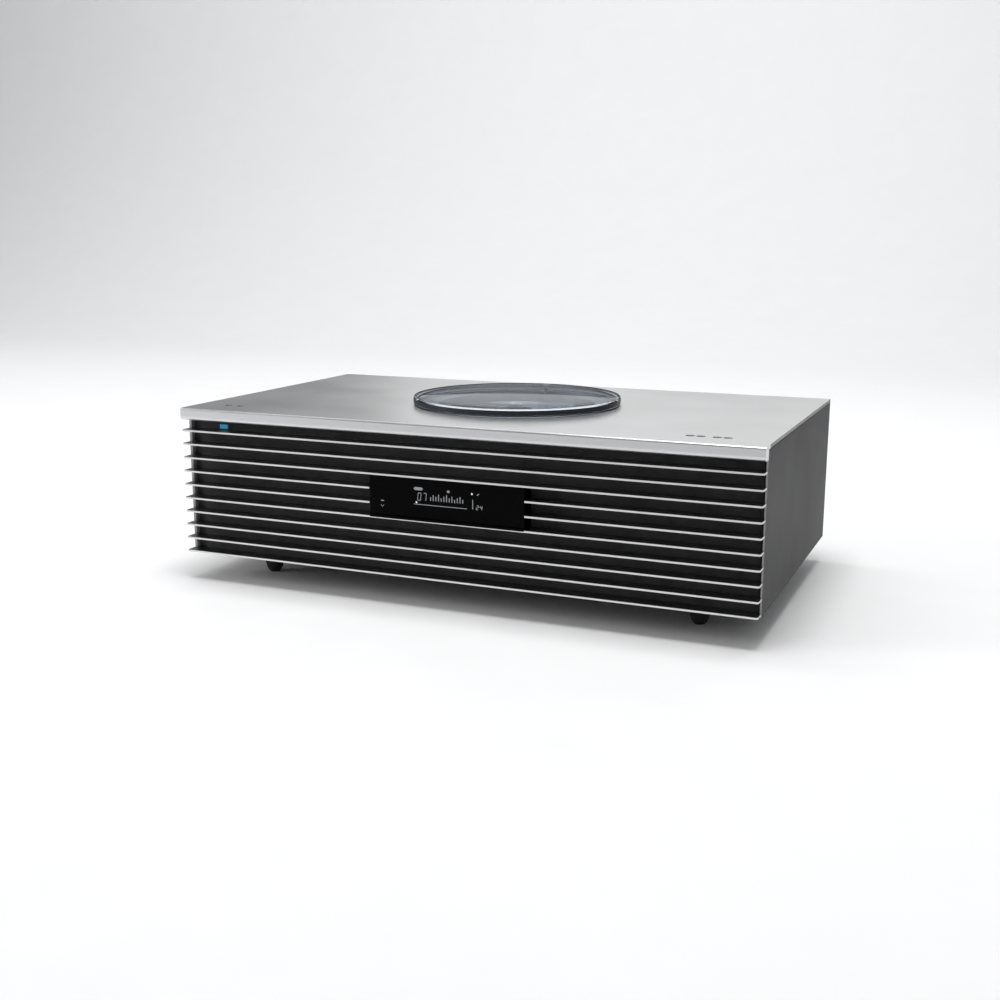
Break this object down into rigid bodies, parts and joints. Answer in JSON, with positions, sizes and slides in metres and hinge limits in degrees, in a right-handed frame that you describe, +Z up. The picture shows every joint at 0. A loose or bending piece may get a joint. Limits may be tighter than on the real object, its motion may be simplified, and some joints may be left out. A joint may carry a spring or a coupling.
{
  "type": "mini hifi system",
  "caption": "Low rectangular tabletop hifi with a silver top and louvred front, a round swivelling lid over a disc well, a display window, push buttons and cone feet.",
  "frame": {"origin": "on the floor, below the middle of the case", "axes": "+X to the right seen from the front, -Y towards the listener, +Z up"},
  "size_m": [0.45, 0.257, 0.1445],
  "materials": {
    "silver_aluminium": "satin anodised",
    "grey_side_aluminium": "satin anodised, darker",
    "black_plastic": "matt moulded",
    "gloss_black_window": "polished",
    "grille_cloth": "woven",
    "smoked_acrylic": "polished, lightly smoked",
    "well_grey": "satin moulded",
    "steel": "plain",
    "foot_rubber": "matt",
    "circuit_board": "solder mask",
    "speaker_cone": "pulp",
    "blue_indicator": "lit lens"
  },
  "bodies": {
    "case": {"ac_inlet": "black_plastic", "bass_port": "black_plastic", "bottom_plate": "black_plastic", "disc_well": "well_grey", "display_module": "circuit_board", "display_window": "gloss_black_window", "fin_01": "silver_aluminium", "fin_02": "silver_aluminium", "fin_03": "silver_aluminium", "fin_04_left": "silver_aluminium", "fin_04_right": "silver_aluminium", "fin_05_left": "silver_aluminium", "fin_05_right": "silver_aluminium", "fin_06": "silver_aluminium", "fin_07": "silver_aluminium", "fin_08": "silver_aluminium", "fin_09": "silver_aluminium", "fin_10": "silver_aluminium", "foot_front_left": "foot_rubber", "foot_front_right": "foot_rubber", "foot_rear_left": "foot_rubber", "foot_rear_right": "foot_rubber", "front_baffle": "black_plastic", "grille_cloth": "grille_cloth", "guide_rod_front": "steel", "guide_rod_rear": "steel", "heat_sink": "steel", "main_board": "circuit_board", "pivot_bush": "black_plastic", "power_board": "circuit_board", "power_indicator": "blue_indicator", "rear_jacks": "black_plastic", "rear_panel": "black_plastic", "side_panel_left": "grey_side_aluminium", "side_panel_right": "grey_side_aluminium", "sled_motor": "steel", "spindle_motor": "steel", "subwoofer": "steel", "switch_board_left": "circuit_board", "switch_board_right": "circuit_board", "top_panel": "silver_aluminium", "traverse_plate": "steel", "tweeter_left": "black_plastic", "tweeter_right": "black_plastic", "woofer_left": "steel", "woofer_right": "steel"},
    "lid": {"lid_dome": "smoked_acrylic", "lid_pivot": "steel"},
    "disc_hub": {"disc_hub": "black_plastic"},
    "pickup": {"laser_pickup": "black_plastic"},
    "lead_screw": {"lead_screw": "steel"},
    "woofer_cone_left": {"woofer_cone_left": "speaker_cone"},
    "woofer_cone_right": {"woofer_cone_right": "speaker_cone"},
    "subwoofer_cone": {"subwoofer_cone": "speaker_cone"},
    "power_button": {"power_button": "silver_aluminium"},
    "source_button": {"source_button": "silver_aluminium"},
    "volume_down_button": {"volume_down_button": "silver_aluminium"},
    "volume_up_button": {"volume_up_button": "silver_aluminium"},
    "play_button": {"play_button": "silver_aluminium"},
    "stop_button": {"stop_button": "silver_aluminium"}
  },
  "joints": [
    {"name": "lid_swivel", "type": "hinge", "parent": "case", "child": "lid", "pos_m": [0, 0.07, 0.1355], "axis": [0, 0, 1], "range_deg": [0, 170]},
    {"name": "disc_spin", "type": "hinge", "parent": "case", "child": "disc_hub", "pos_m": [0.002, 0, 0.1355], "axis": [0, 0, 1], "continuous": true},
    {"name": "pickup_slide", "type": "slide", "parent": "case", "child": "pickup", "axis": [-1, 0, 0], "range_m": [0, 0.032]},
    {"name": "lead_screw_turn", "type": "hinge", "parent": "case", "child": "lead_screw", "pos_m": [-0.03, -0.027, 0.116], "axis": [1, 0, 0], "range_deg": [0, 2900]},
    {"name": "power_button_press", "type": "slide", "parent": "case", "child": "power_button", "axis": [0, 0, -1], "range_m": [0, 0.0006], "stiffness_N_per_m": 400, "springref_m": -0.0006},
    {"name": "source_button_press", "type": "slide", "parent": "case", "child": "source_button", "axis": [0, 0, -1], "range_m": [0, 0.0006], "stiffness_N_per_m": 400, "springref_m": -0.0006},
    {"name": "volume_down_button_press", "type": "slide", "parent": "case", "child": "volume_down_button", "axis": [0, 0, -1], "range_m": [0, 0.0006], "stiffness_N_per_m": 400, "springref_m": -0.0006},
    {"name": "volume_up_button_press", "type": "slide", "parent": "case", "child": "volume_up_button", "axis": [0, 0, -1], "range_m": [0, 0.0006], "stiffness_N_per_m": 400, "springref_m": -0.0006},
    {"name": "play_button_press", "type": "slide", "parent": "case", "child": "play_button", "axis": [0, 0, -1], "range_m": [0, 0.0006], "stiffness_N_per_m": 400, "springref_m": -0.0006},
    {"name": "stop_button_press", "type": "slide", "parent": "case", "child": "stop_button", "axis": [0, 0, -1], "range_m": [0, 0.0006], "stiffness_N_per_m": 400, "springref_m": -0.0006},
    {"name": "woofer_left_excursion", "type": "slide", "parent": "case", "child": "woofer_cone_left", "axis": [0, -1, 0], "range_m": [-0.0025, 0.0025], "stiffness_N_per_m": 1500},
    {"name": "woofer_right_excursion", "type": "slide", "parent": "case", "child": "woofer_cone_right", "axis": [0, -1, 0], "range_m": [-0.0025, 0.0025], "stiffness_N_per_m": 1500},
    {"name": "subwoofer_excursion", "type": "slide", "parent": "case", "child": "subwoofer_cone", "axis": [0, 0, -1], "range_m": [-0.0025, 0.0025], "stiffness_N_per_m": 2500}
  ],
  "couplings": [
    {"joint": "lead_screw_turn", "follows": "pickup_slide", "rad_per_m": 1570.8}
  ]
}
